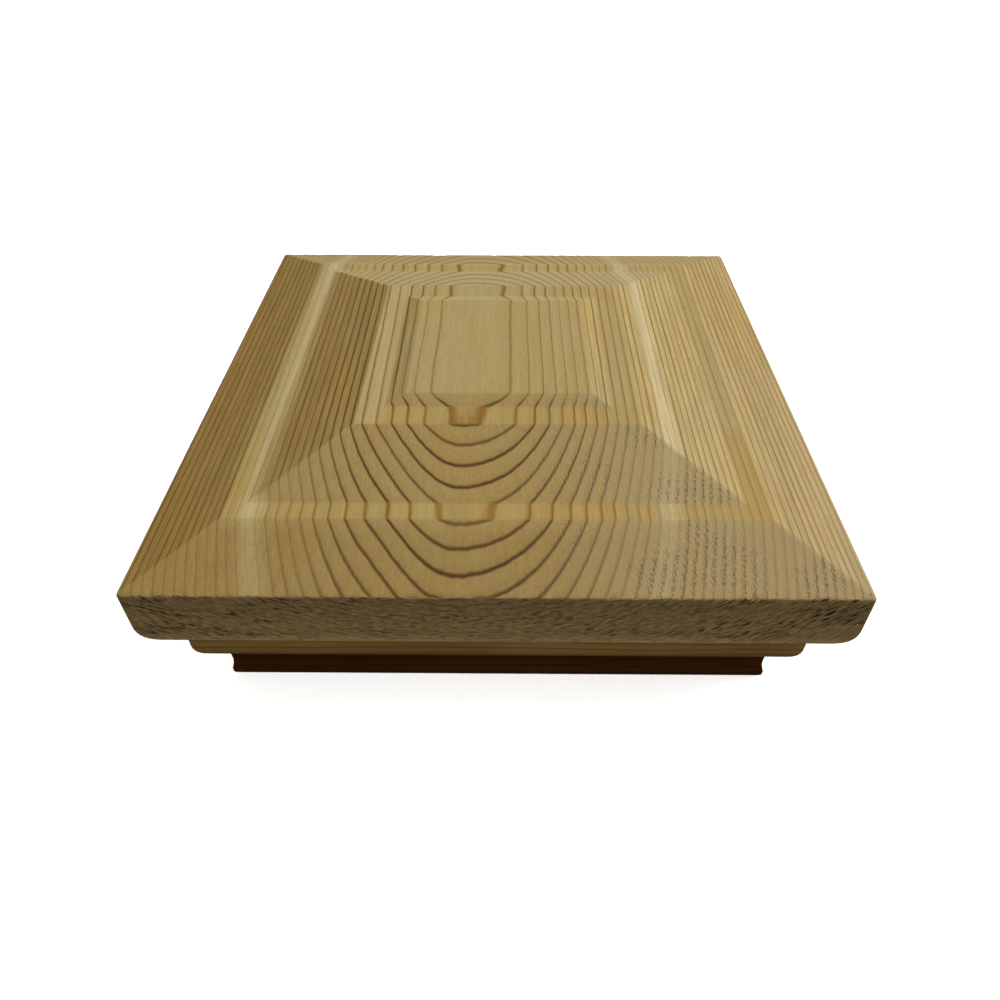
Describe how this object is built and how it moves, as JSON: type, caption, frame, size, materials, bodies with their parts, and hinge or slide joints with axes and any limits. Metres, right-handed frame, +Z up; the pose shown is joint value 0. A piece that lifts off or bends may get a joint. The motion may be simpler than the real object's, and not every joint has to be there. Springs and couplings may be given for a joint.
{
  "type": "fence post cap",
  "caption": "Square wooden fence post cap with a stepped bevelled flat top on a mitred moulding frame that fits over the post's end.",
  "frame": {"origin": "centre of the bottom of the moulding frame, on the post's axis", "axes": "+Z up along the post's axis; +Y along the board's grain, towards the back; -Y is the front"},
  "size_m": [0.1396, 0.1396, 0.0509],
  "materials": {
    "board_wood": "bare flat-sawn softwood, machined bevels, oiled tan brown",
    "moulding_wood": "bare straight-grained softwood moulding",
    "brad_steel": "dull zinc coating"
  },
  "bodies": {
    "root": {"cap_board": "board_wood", "moulding_front": "moulding_wood", "moulding_right": "moulding_wood", "moulding_back": "moulding_wood", "moulding_left": "moulding_wood", "brad_front_1": "brad_steel", "brad_front_2": "brad_steel", "brad_front_3": "brad_steel", "brad_right_1": "brad_steel", "brad_right_2": "brad_steel", "brad_right_3": "brad_steel", "brad_back_1": "brad_steel", "brad_back_2": "brad_steel", "brad_back_3": "brad_steel", "brad_left_1": "brad_steel", "brad_left_2": "brad_steel", "brad_left_3": "brad_steel"}
  },
  "joints": []
}
